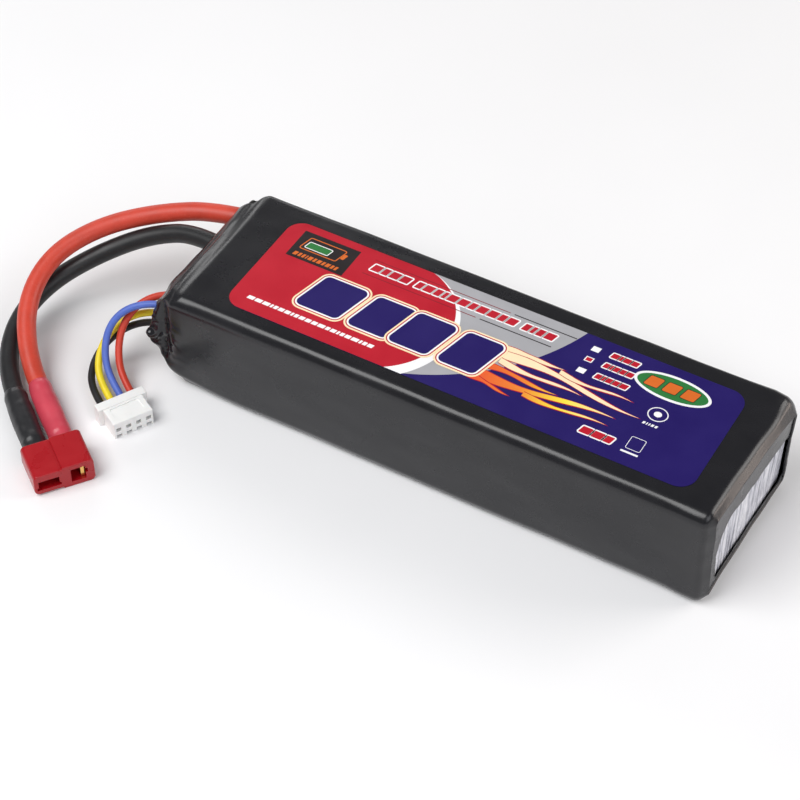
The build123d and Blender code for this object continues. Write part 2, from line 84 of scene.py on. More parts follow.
class Shader:
    """A material under construction, with short calls for the nodes used here."""

    def __init__(self, name, **sockets):
        self.material = bpy.data.materials.new(name)
        self.material.use_nodes = True
        self.tree = self.material.node_tree
        self.base = self.tree.nodes["Principled BSDF"]
        self.place = self.tree.nodes.new("ShaderNodeTexCoord").outputs["Object"]
        for socket, value in sockets.items():
            self.base.inputs[socket.replace("_", " ")].default_value = value

    def link(self, source, target):
        self.tree.links.new(source, target)

    def scaled(self, x, y, z):
        """Object coordinates, stretched along each axis."""
        mapping = self.tree.nodes.new("ShaderNodeMapping")
        mapping.inputs["Scale"].default_value = (x, y, z)
        self.link(self.place, mapping.inputs["Vector"])
        return mapping.outputs["Vector"]

    def noise(self, scale, detail=4.0, rough=0.5, vector=None, distortion=0.0):
        node = self.tree.nodes.new("ShaderNodeTexNoise")
        node.inputs["Scale"].default_value = scale
        node.inputs["Detail"].default_value = detail
        node.inputs["Roughness"].default_value = rough
        node.inputs["Distortion"].default_value = distortion
        self.link(vector or self.place, node.inputs["Vector"])
        return node.outputs["Fac"]

    def ramp(self, source, *stops):
        """Colours or greys at places from 0 to 1."""
        node = self.tree.nodes.new("ShaderNodeValToRGB")
        elements = node.color_ramp.elements
        while len(elements) < len(stops):
            elements.new(0.5)
        for element, (position, colour) in zip(elements, stops):
            element.position = position
            element.color = colour if isinstance(colour, tuple) else (colour, colour, colour, 1)
        self.link(source, node.inputs["Fac"])
        return node.outputs["Color"]

    def range(self, source, low, high, from_low=0.3, from_high=0.7):
        node = self.tree.nodes.new("ShaderNodeMapRange")
        limits = {"From Min": from_low, "From Max": from_high, "To Min": low, "To Max": high}
        for name, value in limits.items():
            node.inputs[name].default_value = value
        self.link(source, node.inputs["Value"])
        return node.outputs["Result"]

    def mix(self, factor, first, second):
        node = self.tree.nodes.new("ShaderNodeMix")
        node.data_type = "RGBA"
        colour_a = [s for s in node.inputs if s.name == "A" and s.type == "RGBA"][0]
        colour_b = [s for s in node.inputs if s.name == "B" and s.type == "RGBA"][0]
        for socket, value in ((node.inputs[0], factor), (colour_a, first), (colour_b, second)):
            if isinstance(value, bpy.types.NodeSocket):
                self.link(value, socket)
            else:
                socket.default_value = value
        return [s for s in node.outputs if s.type == "RGBA"][0]

    def math(self, operation, first, second=0.0):
        node = self.tree.nodes.new("ShaderNodeMath")
        node.operation = operation
        for socket, value in zip(node.inputs, (first, second)):
            if isinstance(value, bpy.types.NodeSocket):
                self.link(value, socket)
            else:
                socket.default_value = value
        return node.outputs["Value"]

    def bump(self, height, strength, depth, under=None):
        node = self.tree.nodes.new("ShaderNodeBump")
        node.inputs["Strength"].default_value = strength
        node.inputs["Distance"].default_value = depth
        self.link(height, node.inputs["Height"])
        if under is not None:
            self.link(under, node.inputs["Normal"])
        return node.outputs["Normal"]

    def finish(self, colour=None, rough=None, normal=None):
        for socket, source in (("Base Color", colour), ("Roughness", rough), ("Normal", normal)):
            if source is not None:
                self.link(source, self.base.inputs[socket])
        return self.material


def shade(colour, factor):
    """A colour made lighter or darker."""
    return tuple(min(1.0, channel * factor) for channel in colour[:3]) + (1.0,)


def plain_finish(name, colour, rough, spread=0.12, grain=900.0, relief=0.01):
    """A moulded or printed finish: soft colour variation, uneven gloss and fine grain."""
    s = Shader(name)
    patches = s.noise(120.0, 5.0, 0.6)
    tint = s.ramp(patches, (0.3, shade(colour, 1 - spread)), (0.7, shade(colour, 1 + spread)))
    grain_height = s.noise(grain, 5.0, 0.6)
    gloss = s.range(patches, rough * 0.85, rough * 1.2)
    return s.finish(tint, gloss, s.bump(grain_height, 0.5, relief * MM))


def film_finish():
    """Black shrunk PVC: satin, glossier where it's gathered, with orange peel, draw lines and dents."""
    s = Shader("sleeve_film", Specular_IOR_Level=0.44, Coat_Weight=0.1, Coat_Roughness=0.14)
    patches = s.noise(90.0, 5.0, 0.6)
    tint = s.ramp(patches, (0.3, linear(21, 21, 25)), (0.7, linear(27, 27, 31)))
    lines = s.noise(1.0, 6.0, 0.65, s.scaled(45.0, 700.0, 700.0))
    peel = s.noise(1300.0, 3.0, 0.5)
    dents = s.noise(160.0, 2.0, 0.5)
    away = s.tree.nodes.new("ShaderNodeVectorMath")
    away.operation = "DISTANCE"
    s.link(s.place, away.inputs[0])
    away.inputs[1].default_value = tuple(GATHER_TIP * MM)
    pulled = s.range(away.outputs["Value"], 0.34, 1.0, 6 * MM, 13 * MM)
    uneven = s.math("ADD", s.math("MULTIPLY", lines, 0.15), s.math("MULTIPLY", patches, 0.85))
    gloss = s.range(uneven, 0.23, 0.31)
    normal = s.bump(dents, 0.3, 0.04 * MM)
    normal = s.bump(peel, 0.2, 0.0015 * MM, normal)
    return s.finish(tint, s.math("MULTIPLY", gloss, pulled), normal)


def ink(name, colour, spread=0.05):
    """Gloss print on the label: even colour, fine screen grain, a clear coat."""
    s = Shader(name, Coat_Weight=0.15, Coat_Roughness=0.12, Specular_IOR_Level=0.3)
    patches = s.noise(150.0, 4.0, 0.5)
    screen = s.noise(5200.0, 1.0, 0.4)
    tint = s.ramp(patches, (0.3, shade(colour, 1 - spread)), (0.7, shade(colour, 1 + spread)))
    tint = s.mix(s.range(screen, 0.0, 0.08), tint, shade(colour, 0.55))
    waves = s.noise(70.0, 2.0, 0.5)
    normal = s.bump(waves, 0.3, 0.04 * MM)
    normal = s.bump(screen, 0.3, 0.003 * MM, normal)
    return s.finish(tint, s.range(patches, 0.3, 0.42), normal)


def ramp_ink(name, stops):
    """Gloss print whose colour changes along the label; stops are X places in metres and colours."""
    s = Shader(name, Coat_Weight=0.15, Coat_Roughness=0.12, Specular_IOR_Level=0.3)
    split = s.tree.nodes.new("ShaderNodeSeparateXYZ")
    s.link(s.place, split.inputs["Vector"])
    x0, x1 = stops[0][0], stops[-1][0]
    along = s.range(split.outputs["X"], 0.0, 1.0, x0, x1)
    tint = s.ramp(along, *[((x - x0) / (x1 - x0), colour) for x, colour in stops])
    screen = s.noise(5200.0, 1.0, 0.4)
    tint = s.mix(s.range(screen, 0.0, 0.12), tint, linear(200, 120, 60))
    return s.finish(tint, s.range(s.noise(150.0), 0.3, 0.42), s.bump(screen, 0.3, 0.003 * MM))


def silicone(name, colour, highlight, bloom=0.2):
    """Soft silicone jacket: matt, slightly see-through, with dust specks tinted in the highlight colour as a
    painted highlight, and extrusion lines.
    """
    s = Shader(name, Sheen_Weight=bloom, Sheen_Roughness=0.4, Specular_IOR_Level=0.45)
    s.base.inputs["Sheen Tint"].default_value = highlight
    s.base.inputs["Subsurface Weight"].default_value = 0.12
    s.base.inputs["Subsurface Radius"].default_value = (0.0012, 0.0006, 0.0004)
    patches = s.noise(190.0, 5.0, 0.6)
    dust_and_painted_highlight = s.noise(2600.0, 3.0, 0.7)
    tint = s.ramp(patches, (0.3, shade(colour, 0.9)), (0.7, shade(colour, 1.1)))
    # pale specks in the highlight colour: dust, and also a painted highlight that lightens the jacket
    tint = s.mix(s.range(dust_and_painted_highlight, 0.0, 0.12, 0.55, 0.8), tint, highlight)
    normal = s.bump(s.noise(420.0, 3.0, 0.5), 0.3, 0.02 * MM)
    normal = s.bump(dust_and_painted_highlight, 0.35, 0.006 * MM, normal)
    return s.finish(tint, s.range(patches, 0.36, 0.5), normal)


def metal(name, colour, rough, brush=900.0):
    """Rolled or plated metal with fine draw marks."""
    s = Shader(name, Metallic=1.0)
    marks = s.noise(1.0, 5.0, 0.6, s.scaled(brush * 0.15, brush, brush))
    tint = s.ramp(marks, (0.3, shade(colour, 0.8)), (0.7, shade(colour, 1.1)))
    return s.finish(tint, s.range(marks, rough * 0.8, rough * 1.3), s.bump(marks, 0.3, 0.01 * MM))


def tape_finish():
    """Silver strapping tape: bundles of glass thread under a clear film, seen as fine bright and dark lines
    whose colour contrast also paints the light and shade of the ribs.
    """
    s = Shader("strapping_tape", Coat_Weight=0.2, Coat_Roughness=0.2, Metallic=0.15)
    threads_and_rib_shade = s.noise(1.0, 5.0, 0.7, s.scaled(45.0, 1300.0, 45.0))
    patches = s.noise(240.0, 4.0, 0.6)
    # bright and dark lines along the ribs: glass threads, with contrast raised as painted light on the rib
    # crests and painted shade in the grooves
    tint = s.ramp(threads_and_rib_shade, (0.34, linear(122, 123, 134)), (0.48, linear(208, 209, 218)),
                  (0.6, linear(246, 246, 250)))
    tint = s.mix(s.range(patches, 0.0, 0.25), tint, linear(140, 141, 150))
    return s.finish(tint, s.range(threads_and_rib_shade, 0.28, 0.5), s.bump(threads_and_rib_shade, 0.6, 0.05 * MM))


def nylon(name, colour, rough, subsurface, spread=0.05):
    """Moulded nylon: faint flow marks, spark-eroded grain and a little light let through."""
    s = Shader(name, Specular_IOR_Level=0.4, Coat_Weight=0.08, Coat_Roughness=0.15)
    s.base.inputs["Subsurface Weight"].default_value = subsurface
    s.base.inputs["Subsurface Radius"].default_value = (0.002, 0.0014, 0.0011)
    flow = s.noise(160.0, 4.0, 0.6, distortion=1.2)
    grain_height = s.noise(2100.0, 3.0, 0.6)
    tint = s.ramp(flow, (0.3, shade(colour, 1 - spread)), (0.7, shade(colour, 1 + spread)))
    normal = s.bump(s.noise(280.0, 2.0, 0.5), 0.2, 0.006 * MM)
    normal = s.bump(grain_height, 0.35, 0.006 * MM, normal)
    return s.finish(tint, s.range(flow, rough * 0.8, rough * 1.2), normal)


WHITE = linear(243, 243, 244)
BLAZE_STOPS = [(4 * MM, linear(226, 66, 44)), (17 * MM, linear(232, 132, 48)),
               (27 * MM, linear(248, 226, 70)), (39 * MM, linear(250, 232, 190))]
MATERIALS = {
    "sleeve_film": film_finish(),
    "strapping_tape": tape_finish(),
    "stiff_plate": plain_finish("stiff_plate", linear(60, 62, 58), 0.6, relief=0.03),
    "pouch_foil": metal("pouch_foil", linear(176, 178, 182), 0.34, 300.0),
    "cell_adhesive": plain_finish("cell_adhesive", linear(225, 222, 210), 0.7),
    "tab_metal": metal("tab_metal", linear(196, 192, 182), 0.3),
    "seal_polymer": plain_finish("seal_polymer", linear(214, 204, 176), 0.45),
    "board_laminate": plain_finish("board_laminate", linear(28, 74, 52), 0.42, relief=0.02),
    "copper_pad": metal("copper_pad", linear(196, 132, 88), 0.32),
    "solder_metal": metal("solder_metal", linear(186, 188, 190), 0.26, 500.0),
    "cover_card": plain_finish("cover_card", linear(44, 43, 42), 0.7, relief=0.04, grain=500.0),
    "lead_red": silicone("lead_red", linear(202, 66, 48), linear(242, 176, 156)),
    "lead_black": silicone("lead_black", linear(28, 28, 30), linear(120, 120, 124), 0.08),
    "shrink_red": plain_finish("shrink_red", linear(200, 66, 82), 0.34, spread=0.08, relief=0.02,
                               grain=600.0),
    "shrink_black": plain_finish("shrink_black", linear(31, 31, 34), 0.36, spread=0.15, relief=0.03,
                                 grain=600.0),
    "plug_nylon": nylon("plug_nylon", linear(164, 12, 24), 0.3, 0.03),
    "gold_contact": metal("gold_contact", linear(232, 190, 112), 0.2),
    "sense_red": silicone("sense_red", linear(206, 62, 42), linear(245, 160, 140)),
    "sense_blue": silicone("sense_blue", linear(84, 110, 196), linear(170, 186, 230)),
    "sense_yellow": silicone("sense_yellow", linear(240, 216, 40), linear(250, 240, 150)),
    "sense_black": silicone("sense_black", linear(26, 26, 28), linear(120, 120, 124), 0.08),
    "socket_nylon": nylon("socket_nylon", linear(243, 243, 241), 0.34, 0.08, spread=0.02),
    "terminal_metal": metal("terminal_metal", linear(190, 186, 176), 0.28),
    "print_navy": ink("print_navy", linear(30, 16, 94)),
    "print_red": ink("print_red", linear(184, 22, 42)),
    "print_grey": ink("print_grey", linear(166, 166, 170)),
    "print_white": ink("print_white", WHITE, 0.02),
    "print_dark_red": ink("print_dark_red", linear(128, 26, 38)),
    "print_black": ink("print_black", linear(34, 28, 30)),
    "print_green": ink("print_green", linear(44, 118, 58)),
    "print_orange": ink("print_orange", linear(214, 106, 38)),
    "print_cream": ink("print_cream", linear(250, 228, 188)),
    "print_blaze": ramp_ink("print_blaze", BLAZE_STOPS),
}

SLOT_OF_NODE = {
    "plate_top": "stiff_plate", "plate_bottom": "stiff_plate", "tab_board": "board_laminate",
    "cell_pad_lower": "cell_adhesive", "cell_pad_upper": "cell_adhesive",
    "solder_joints": "solder_metal", "plug_solder": "solder_metal", "balance_pads": "copper_pad",
    "end_cover": "cover_card", "plug_housing": "plug_nylon", "balance_housing": "socket_nylon",
}
SLOT_OF_PREFIX = {
    "cell_tab_": "tab_metal", "cell_": "pouch_foil", "tab_seals_": "seal_polymer", "bus_pad_": "copper_pad",
    "plug_contact_": "gold_contact", "balance_terminal_": "terminal_metal",
}


def finish_cad_nodes():
    """Each CAD node that isn't replaced and has no print gets its finish."""
    for name, node in nodes.items():
        slot = SLOT_OF_NODE.get(name)
        if slot is None:
            slot = next((s for prefix, s in SLOT_OF_PREFIX.items() if name.startswith(prefix)), None)
        if slot is not None:
            node.data.materials.clear()
            node.data.materials.append(MATERIALS[slot])


# ---- building pieces ----------------------------------------------------------------------
def new_piece(name, points, faces, material, replaced=(), smooth=True):
    """A mesh piece that rides on the body and takes its slot's finish."""
    mesh = bpy.data.meshes.new(name)
    mesh.from_pydata([tuple(p) for p in points], [], faces)
    mesh.validate()
    mesh.materials.append(MATERIALS[material])
    mesh.polygons.foreach_set("use_smooth", [smooth] * len(mesh.polygons))
    piece = bpy.data.objects.new(name, mesh)
    bpy.context.scene.collection.objects.link(piece)
    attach(piece, BODY)
    if replaced:
        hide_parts(*replaced)
    return piece


def grid_faces(rows, columns, closed=True):
    """Quads over a grid of points, each row a closed loop unless told otherwise."""
    last = columns if closed else columns - 1
    return [(i * columns + j, i * columns + (j + 1) % columns, (i + 1) * columns + (j + 1) % columns,
             (i + 1) * columns + j) for i in range(rows - 1) for j in range(last)]


def smoothstep(low, high, value):
    t = min(1.0, max(0.0, (value - low) / (high - low)))
    return t * t * (3 - 2 * t)


def ridged(x, y, z):
    """Noise with sharp crests, from 0 to 1."""
    return 1 - abs(noise.noise(Vector((x, y, z)))) * 2


# ---- leads --------------------------------------------------------------------------------
LEAD_DIAMETER, SENSE_DIAMETER = 0.0045, 0.0017
# the control points of the CAD source's routes, in metres
MAIN_ROUTES = {
    "positive": [(-0.0602, 0.0160, 0.0224), (-0.0740, 0.0142, 0.0222), (-0.0870, 0.0080, 0.0206),
                 (-0.0982, -0.0010, 0.0182), (-0.1046, -0.0122, 0.0148), (-0.1034, -0.0242, 0.0106),
                 (-0.0962, -0.0346, 0.0064), (-0.0859, -0.0426, 0.0030), (-0.0743, -0.0513, 0.0030)],
    "negative": [(-0.0602, 0.0030, 0.0218), (-0.0740, 0.0065, 0.0212), (-0.0865, 0.0040, 0.0172),
                 (-0.0972, -0.0035, 0.0120), (-0.1044, -0.0140, 0.0080), (-0.1055, -0.0259, 0.0054),
                 (-0.1004, -0.0374, 0.0038), (-0.0897, -0.0476, 0.0030), (-0.0781, -0.0563, 0.0030)],
}
SENSE_ROUTES = {
    "red": [(-0.0599, -0.0164, 0.0218), (-0.0672, -0.0124, 0.0200), (-0.0732, -0.0134, 0.0182),
            (-0.0772, -0.0162, 0.0155), (-0.0790, -0.0200, 0.0118), (-0.0781, -0.0240, 0.0074),
            (-0.0749, -0.0279, 0.0036), (-0.06945, -0.0310, 0.0024)],
    "blue": [(-0.0599, -0.0164, 0.0188), (-0.0674, -0.0148, 0.0182), (-0.0738, -0.0164, 0.0178),
             (-0.0787, -0.0192, 0.0158), (-0.0810, -0.0227, 0.0122), (-0.0801, -0.0266, 0.0078),
             (-0.0765, -0.0301, 0.0038), (-0.0707, -0.03317, 0.0024)],
    "yellow": [(-0.0599, -0.0164, 0.0158), (-0.0673, -0.0146, 0.0148), (-0.0740, -0.0146, 0.0136),
               (-0.0792, -0.0170, 0.0116), (-0.0820, -0.0216, 0.0090), (-0.0817, -0.0271, 0.0060),
               (-0.0780, -0.0320, 0.0034), (-0.0719, -0.03535, 0.0024)],
    "black": [(-0.0599, -0.0164, 0.0128), (-0.0670, -0.0154, 0.0122), (-0.0738, -0.0150, 0.0109),
              (-0.0794, -0.0172, 0.0087), (-0.0826, -0.0220, 0.0062), (-0.0828, -0.0278, 0.0041),
              (-0.0794, -0.0339, 0.0027), (-0.07315, -0.0375, 0.0024)],
}
MAIN_FINISH = {"positive": "lead_red", "negative": "lead_black"}


def lead_curve(name, route, diameter, finish, replaced):
    """One smooth lead through its route's control points."""
    data = bpy.data.curves.new(name, "CURVE")
    data.dimensions = "3D"
    spline = data.splines.new("NURBS")
    spline.points.add(len(route) - 1)
    for point, place in zip(spline.points, route):
        point.co = (*place, 1.0)
    spline.order_u = 3
    spline.use_endpoint_u = True
    spline.resolution_u = 16
    data.bevel_depth = diameter / 2
    data.bevel_resolution = 7
    data.use_fill_caps = True
    data.materials.append(MATERIALS[finish])
    lead = bpy.data.objects.new(name, data)
    bpy.context.scene.collection.objects.link(lead)
    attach(lead, BODY)
    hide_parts(*replaced)
    return lead


def centreline(lead):
    """The points of a lead's own line."""
    copy = lead.copy()
    copy.data = lead.data.copy()
    copy.data.bevel_depth = 0
    bpy.context.scene.collection.objects.link(copy)
    bpy.context.view_layer.update()
    graph = bpy.context.evaluated_depsgraph_get()
    line = bpy.data.meshes.new_from_object(copy.evaluated_get(graph))
    points = [vertex.co.copy() for vertex in line.vertices]
    bpy.data.meshes.remove(line)
    data = copy.data
    bpy.data.objects.remove(copy)
    bpy.data.curves.remove(data)
    return points


# ---- heat-shrink tubes --------------------------------------------------------------------
SHRINK_LENGTH, SHRINK_RADIUS = 19.0 * MM, 2.7 * MM
SHRINK_WALL, SHRINK_END_GAP, SHRINK_LOOK = 0.35 * MM, 0.1 * MM, 0.4 * MM
SHRINK_RINGS, SHRINK_SIDES = 76, 40


def shrink_profile(t, angle, seed):
    """Radius of a shrunk tube: t is 0 at its mouth on the lead and 1 at the plug."""
    flare = -0.30 * math.exp(-(t / 0.05) ** 2)
    swell = 0.14 * math.exp(-((t - 0.45) / 0.25) ** 2) - 0.34 * smoothstep(0.84, 0.93, t)
    around = Vector((math.cos(angle), math.sin(angle), t * 7 + seed))
    dents = 0.09 * noise.noise(around * 1.1) + 0.03 * noise.noise(around * 2.3)
    wrinkled = math.exp(-((t - 0.90) / 0.08) ** 2)
    dents += 0.12 * wrinkled * ridged(math.cos(angle) * 0.9, math.sin(angle) * 0.9, t * 13 + seed)
    return SHRINK_RADIUS + (flare + swell + dents * min(1.0, t * 8)) * MM


def heat_shrink(name, lead, material, replaced, seed):
    """A heat-shrunk tube over the lead's last stretch, drawn in at both ends."""
    line = centreline(lead)[::-1]
    reach = [0.0]
    for a, b in zip(line, line[1:]):
        reach.append(reach[-1] + (b - a).length)

    def at(distance):
        for i in range(1, len(line)):
            if reach[i] >= distance:
                share = (distance - reach[i - 1]) / (reach[i] - reach[i - 1])
                return line[i - 1].lerp(line[i], share)
        return line[-1]

    points = []
    for skin in (0, 1):
        rings = range(SHRINK_RINGS + 1) if skin == 0 else range(SHRINK_RINGS, -1, -1)
        for ring in rings:
            t = ring / SHRINK_RINGS
            distance = SHRINK_LENGTH * (1 - t) + SHRINK_END_GAP
            here = at(distance)
            along = (at(max(distance - SHRINK_LOOK, 0)) - at(distance + SHRINK_LOOK)).normalized()
            side = along.cross(Vector((0, 0, 1))).normalized()
            up = side.cross(along)
            for k in range(SHRINK_SIDES):
                angle = 2 * math.pi * k / SHRINK_SIDES
                radius = shrink_profile(t, angle, seed) - (SHRINK_WALL if skin else 0)
                points.append(here + (side * math.cos(angle) + up * math.sin(angle)) * radius)
    rows = 2 * (SHRINK_RINGS + 1)
    faces = grid_faces(rows, SHRINK_SIDES)
    last = (rows - 1) * SHRINK_SIDES
    faces += [(last + j, last + (j + 1) % SHRINK_SIDES, (j + 1) % SHRINK_SIDES, j)
              for j in range(SHRINK_SIDES)]
    return new_piece(name, points, faces, material, replaced)


def make_leads():
    """The two main leads with their heat-shrink tubes, and the four balance leads."""
    for seed, (pole, route) in enumerate(MAIN_ROUTES.items()):
        lead = lead_curve("lead_" + pole, route, LEAD_DIAMETER, MAIN_FINISH[pole],
                          ["main_lead_" + pole, "main_core_" + pole])
        finish = MAIN_FINISH[pole].replace("lead", "shrink")
        tube = heat_shrink("shrink_tube_" + pole, lead, finish, ["heat_shrink_" + pole], 11.0 * seed)
    for colour, route in SENSE_ROUTES.items():
        lead = lead_curve("sense_" + colour, route, SENSE_DIAMETER, "sense_" + colour,
                          ["balance_lead_" + colour, "balance_core_" + colour])


# ---- shrink sleeve ------------------------------------------------------------------------
SLEEVE_LOW, SLEEVE_HIGH = (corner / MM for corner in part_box("shrink_sleeve"))
LABEL_LOW, LABEL_HIGH = (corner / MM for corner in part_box("label"))
WIRE_X, FAR_X = SLEEVE_LOW.x, SLEEVE_HIGH.x
HALF_WIDTH, HEIGHT = SLEEVE_HIGH.y, SLEEVE_HIGH.z
LONG_RADIUS, SHOULDER = 3.2, 6.0
FOLD_LENGTH, FOLD_RADIUS, FOLD_TILT = 2.8, 2.1, math.radians(52)
FILM = 0.25
CORNER_STEPS = 14
SIDE_STEPS = {"near": 64, "bottom": 40, "far": 30, "top": 50}
BODY_STEPS, SHOULDER_STEPS, LIP_STEPS = 60, 34, 12
FAR_OPENING = dict(y0=-15.9, y1=19.2, z0=3.4, z1=18.6, radii=(7.4, 2.4, 4.0, 3.5))
WIRE_OPENING = dict(y0=-17.65, y1=18.4, z0=7.9, z1=25.3, radii=(4.0, 4.0, 4.0, 4.0))
GATHER_SPAN, GATHER_REACH, TIP_ROLL = 11.0, 6.2, 0.12
PLATE_EDGE_Y = 19.2                            # about the stiff plates' half width, which holds the film up
SHOULDER_POWER, TOP_SLOPE_POWER = 2.5, 1.8
TOP_SETBACK, TOP_REACH = 1.0, 0.3
FOLD_STEPS = 8


def section_loop(y0, y1, z0, z1, radii):
    """A rounded rectangle across the pack, always with the same points in the same order.

    The radii are of the corners top-near, bottom-near, bottom-far and top-far.
    """
    centres = [(y0 + radii[0], z1 - radii[0]), (y0 + radii[1], z0 + radii[1]),
               (y1 - radii[2], z0 + radii[2]), (y1 - radii[3], z1 - radii[3])]

    def on_corner(k, turn):
        angle = math.radians(90 * (k + 1 + turn))
        middle_y, middle_z = centres[k]
        return np.array((middle_y + radii[k] * math.cos(angle), middle_z + radii[k] * math.sin(angle)))

    points = []
    for k, side in enumerate(SIDE_STEPS):
        points += [on_corner(k, i / CORNER_STEPS) for i in range(CORNER_STEPS + 1)]
        start, end = on_corner(k, 1), on_corner((k + 1) % 4, 0)
        points += [start + (end - start) * i / SIDE_STEPS[side] for i in range(1, SIDE_STEPS[side])]
    return np.array(points)


def plateau(low, high, margin, value):
    """1 between two limits, falling smoothly to 0 over a margin outside them."""
    return smoothstep(low - margin, low, value) * (1 - smoothstep(high, high + margin, value))


def film_wobble(x, y, z):
    """How far the film stands in from its nominal skin, in millimetres."""
    broad = noise.noise(Vector((x / 17, y / 9, z / 9 + 3.7)))
    fine = noise.noise(Vector((x / 6, y / 4 + 9.1, z / 4)))
    under_label = (plateau(LABEL_LOW.x, LABEL_HIGH.x, 4, x) * plateau(LABEL_LOW.y, LABEL_HIGH.y, 3, y)
                   * smoothstep(HEIGHT - 1, HEIGHT, z))
    between_ends = smoothstep(WIRE_X + 5, WIRE_X + 12, x) * (1 - smoothstep(FAR_X - 11, FAR_X - 5, x))
    hollow = 0.3 * ((z - HEIGHT / 2) / (HEIGHT / 2 - 1)) ** 2 * smoothstep(HALF_WIDTH - 2, HALF_WIDTH, abs(y))
    wrinkles = (0.16 * (0.5 + broad) + 0.05 * (0.5 + fine)) * (1 - under_label)
    return wrinkles * (0.3 + 0.7 * between_ends) + hollow * between_ends


def end_sag(x, y, z):
    """The film's slack at the ends: drooping far corners, a lifted near one, and a bowed far end."""
    height = z / HEIGHT
    past_plate = smoothstep(WIRE_X + 6.3, WIRE_X + 3, x)
    droop = 1.9 * smoothstep(PLATE_EDGE_Y - 4.2 * past_plate, HALF_WIDTH, y) * height ** 2
    droop *= math.exp(-((x - WIRE_X - 5) / 15) ** 2)
    droop += 2.2 * smoothstep(10, HALF_WIDTH, y) * height ** 2 * smoothstep(FAR_X - 4.5, FAR_X + 0.5, x)
    lift = 2.3 * smoothstep(-PLATE_EDGE_Y + 5.2 * past_plate, -20.8, y) * (1 - height) ** 2
    lift *= math.exp(-((x - WIRE_X - 3) / 7) ** 2)
    bow = 1.5 * smoothstep(-14, HALF_WIDTH, y) * smoothstep(FAR_X - 7, FAR_X, x) * (0.35 + 0.65 * height)
    tuck = -math.exp(-((z - 17.5) / 1.5) ** 2) * smoothstep(18, 20.5, y) * smoothstep(FAR_X - 3, FAR_X, x)
    return bow, tuck, lift - droop


def shoulder_rows(outer, mouth):
    """From the open edge at the wire end, up the shoulder to the full section.

    The top falls in a straight slope from a crease. The other sides turn in, in a round.
    """
    rows = []
    for i in range(SHOULDER_STEPS + 1):
        turn = 1 - i / SHOULDER_STEPS
        round_x = math.sin(turn * math.pi / 2) ** (2 / SHOULDER_POWER)
        round_in = 1 - math.cos(turn * math.pi / 2) ** (2 / SHOULDER_POWER)
        slope_in = turn ** TOP_SLOPE_POWER
        row = []
        for (y, z), (open_y, open_z) in zip(outer, mouth):
            flat = smoothstep(HEIGHT - LONG_RADIUS, HEIGHT - 0.3, z)
            reach = (SHOULDER + TOP_REACH * flat) * (round_x + (turn - round_x) * flat)
            drawn = round_in + (slope_in - round_in) * flat
            x = WIRE_X + SHOULDER + TOP_SETBACK * flat - reach
            row.append((x, y + (open_y - y) * drawn, z + (open_z - z) * drawn))
        rows.append(row)
    return rows


def fold_profile():
    """Places over the far edge, as x and inset: a tight round, a straight slope, then a small step in."""
    places = []
    for k in range(1, FOLD_STEPS + 1):
        turn = FOLD_TILT * k / FOLD_STEPS
        x = FAR_X - FOLD_LENGTH + FOLD_RADIUS * math.sin(turn)
        places.append((x, FOLD_RADIUS * (1 - math.cos(turn))))
    x, inset = places[-1]
    length = (FAR_X - x) / math.cos(FOLD_TILT)
    for share in (0.1, 0.4, 0.7, 0.93, 1.0):
        slide = length * share
        places.append((x + slide * math.cos(FOLD_TILT), inset + slide * math.sin(FOLD_TILT)))
    end = places[-1][1]
    return places + [(FAR_X - 0.08, end + 0.10), (FAR_X - 0.28, end + 0.30), (FAR_X - 0.34, end + 0.45)]


def far_rows(mouth):
    """Over the fold at the far end and in along the lip to its wavy edge."""
    rows = []
    for x, inset in fold_profile():
        loop = section_loop(-HALF_WIDTH + inset, HALF_WIDTH - inset, inset, HEIGHT - inset,
                            (max(LONG_RADIUS - inset, 0.6),) * 4)
        rows.append([(x + 0.22 * noise.noise(Vector((y / 8, z / 5, 7.7))), y, z) for y, z in loop])
    folded = np.array(rows[-1])
    middle = mouth.mean(axis=0)
    for i in range(1, LIP_STEPS + 1):
        share = i / LIP_STEPS
        row = []
        for (x, y, z), (open_y, open_z) in zip(folded, mouth):
            out = np.array((open_y, open_z)) - middle
            ragged = 0.30 * noise.noise(Vector((open_y / 4, open_z / 3, 5.2)))
            ragged += 0.25 * noise.noise(Vector((open_y / 1.1, open_z / 1.1, 2.2)))
            open_y, open_z = np.array((open_y, open_z)) + out / np.linalg.norm(out) * ragged * share ** 2
            x += 0.12 * noise.noise(Vector((y / 5, z / 5, 1.3))) * share
            row.append((x, y + (open_y - y) * share, z + (open_z - z) * share))
        rows.append(row)
    return rows


def sleeve_rows():
    """Rows of points from the open edge at the wire end, along the pack, to the lip at the far end."""
    outer = section_loop(-HALF_WIDTH, HALF_WIDTH, 0, HEIGHT, (LONG_RADIUS,) * 4)
    rows = shoulder_rows(outer, section_loop(**WIRE_OPENING))
    end_x = FAR_X - FOLD_LENGTH
    crest_x = np.array(rows[-1])[:, 0]
    for i in range(1, BODY_STEPS + 1):
        share = i / BODY_STEPS
        rows.append([(start_x + (end_x - start_x) * share, y, z) for start_x, (y, z) in zip(crest_x, outer)])
    rows += far_rows(section_loop(**FAR_OPENING))
    return np.array(rows)


def gather(rows):
    """Pull the open edge out to a pinched tip where the balance leads leave, with a valley behind it."""
    pull = np.array((GATHER_TIP[0] - WIRE_X, GATHER_TIP[1] - WIRE_OPENING["y0"], 0))
    for i in range(SHOULDER_STEPS + 8):
        for j, (_, y, z) in enumerate(rows[i]):
            near = smoothstep(-13, -17, y)
            if near == 0:
                continue
            tent = max(0.0, 1 - abs(z - GATHER_TIP[2]) / GATHER_SPAN)
            tent = tent ** 1.2 * near
            edge = math.exp(-(i / (SHOULDER_STEPS * 0.42)) ** 2)
            valley = math.exp(-((i - SHOULDER_STEPS * 0.66) / (SHOULDER_STEPS * 0.16)) ** 2)
            rows[i, j] += pull * tent * edge
            rows[i, j, 1] += 1.3 * valley * near * smoothstep(3, 9, z) * (1 - smoothstep(24, 28, z))


